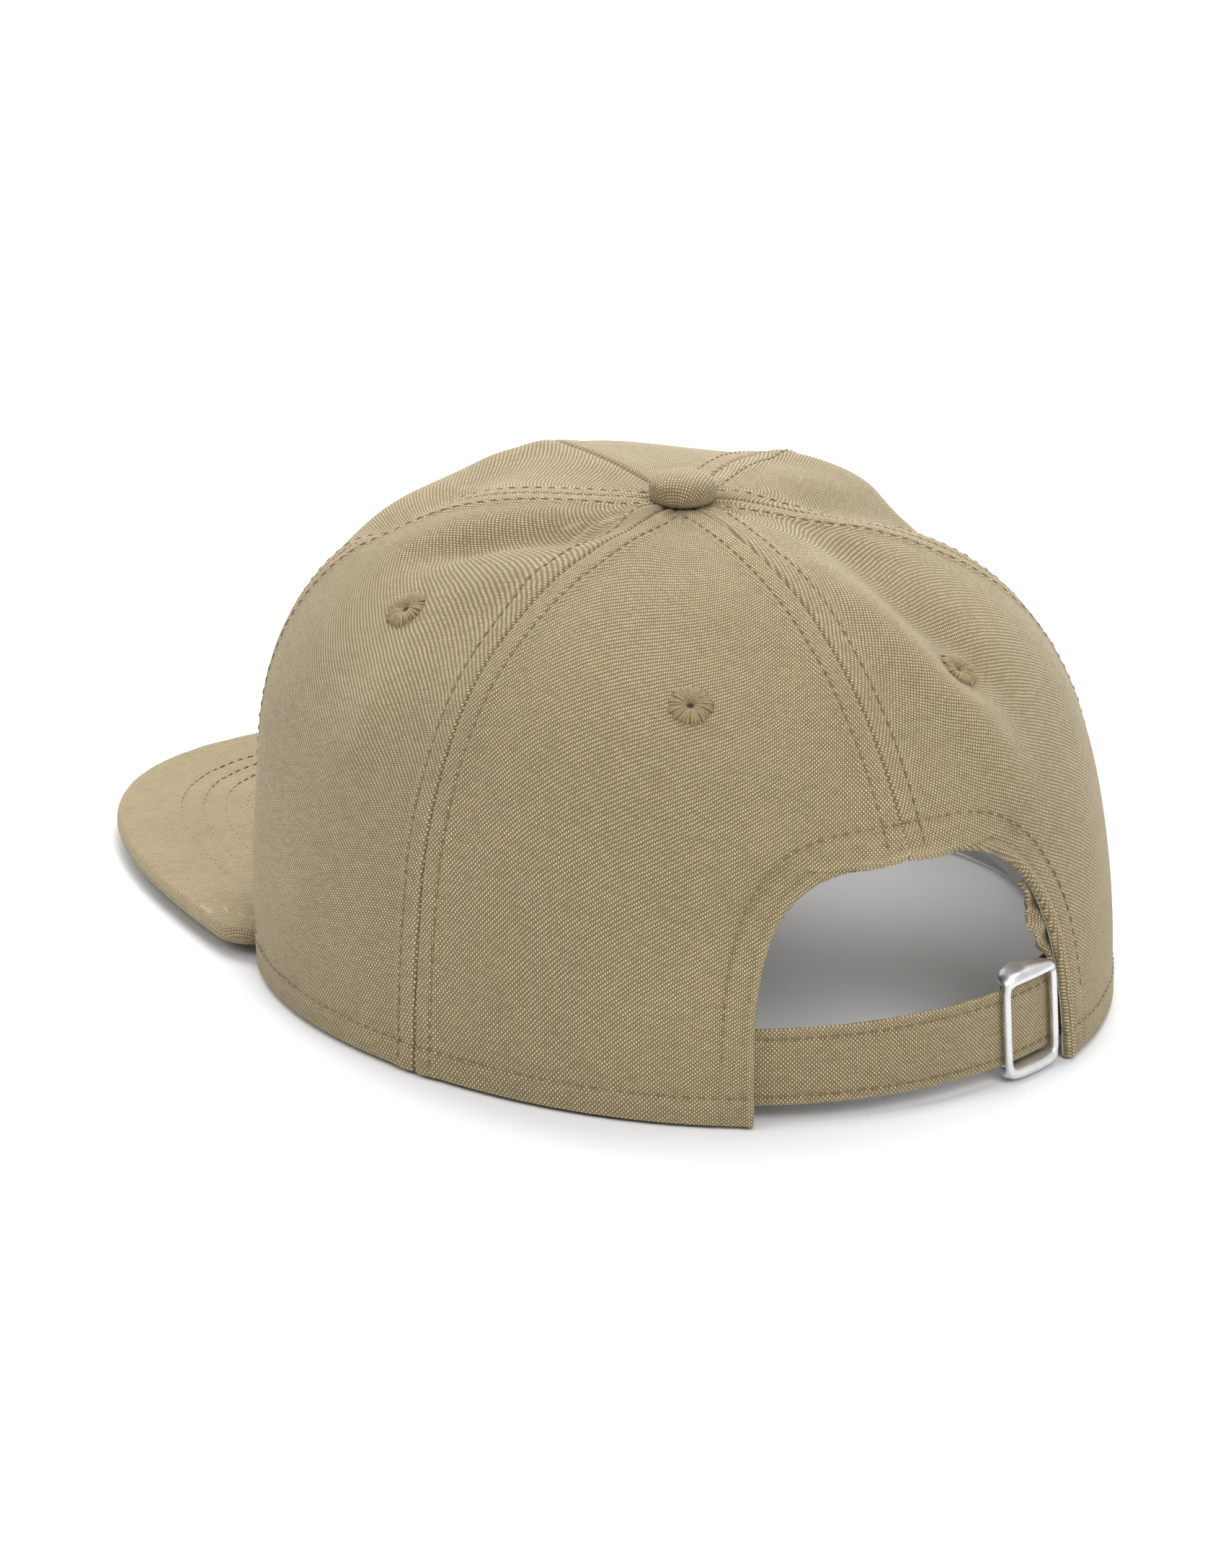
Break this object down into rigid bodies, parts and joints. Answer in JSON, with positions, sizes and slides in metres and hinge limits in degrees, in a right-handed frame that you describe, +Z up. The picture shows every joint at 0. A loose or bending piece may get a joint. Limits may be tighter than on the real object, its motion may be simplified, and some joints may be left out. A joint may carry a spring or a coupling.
{
  "type": "baseball cap",
  "caption": "Six-panel high-profile baseball cap with a flat brim, covered top button, stitched eyelets, rear arch opening and a strap with a slide buckle.",
  "frame": {"origin": "middle of the cap's footprint on the ground plane: the bottom centre of its bounding box", "axes": "+Z up, -Y forward along the brim, +X towards the wearer's left"},
  "size_m": [0.1806, 0.2636, 0.1067],
  "materials": {
    "canvas": "dry plain-weave cotton canvas, khaki, slightly slubby, topstitched in matching thread",
    "under_brim_canvas": "the same khaki canvas on the brim's underside",
    "strap_canvas": "folded self-fabric strap, khaki, topstitched along both edges",
    "button_canvas": "khaki canvas stretched over the button",
    "eyelet_thread": "dense radial embroidery in khaki thread with a soft sheen",
    "lining": "pale neutral woven tape and sweatband cotton, matte",
    "stiffener": "open-weave fused buckram, off-white, stiff",
    "brim_core": "moulded brim board, matte",
    "buckle_metal": "satin nickel-plated cast buckle with soft edges",
    "button_metal": "plain stamped steel, hidden inside the button"
  },
  "bodies": {
    "crown": {"brim_board": "brim_core", "brim_top_cover": "canvas", "brim_under_cover": "under_brim_canvas", "buckle_tab": "strap_canvas", "button_back": "button_metal", "button_cover": "button_canvas", "button_shell": "button_metal", "button_tack": "button_metal", "crown_panel_front_left": "canvas", "crown_panel_front_right": "canvas", "crown_panel_rear_left": "canvas", "crown_panel_rear_right": "canvas", "crown_panel_side_left": "canvas", "crown_panel_side_right": "canvas", "eyelet_rear_left": "eyelet_thread", "eyelet_rear_right": "eyelet_thread", "eyelet_side_left": "eyelet_thread", "eyelet_side_right": "eyelet_thread", "front_buckram_left": "stiffener", "front_buckram_right": "stiffener", "rear_arch_facing": "lining", "seam_tape_front_centre": "lining", "seam_tape_front_left": "lining", "seam_tape_front_right": "lining", "seam_tape_rear_centre": "lining", "seam_tape_rear_left": "lining", "seam_tape_rear_right": "lining", "sweatband": "lining", "sweatband_interlining": "stiffener", "tuck_pocket": "lining"},
    "strap": {"adjuster_strap": "strap_canvas"},
    "buckle": {"slide_buckle": "buckle_metal"}
  },
  "joints": [
    {"name": "strap_slide", "type": "hinge", "parent": "crown", "child": "strap", "pos_m": [0, 0.0522, 0], "axis": [0, 0, 1], "range_deg": [-10, 12]},
    {"name": "buckle_tilt", "type": "hinge", "parent": "crown", "child": "buckle", "pos_m": [-0.02519, 0.12218, 0.011], "axis": [0.0253, -0.0704, 0.9972], "range_deg": [-5, 5]}
  ]
}
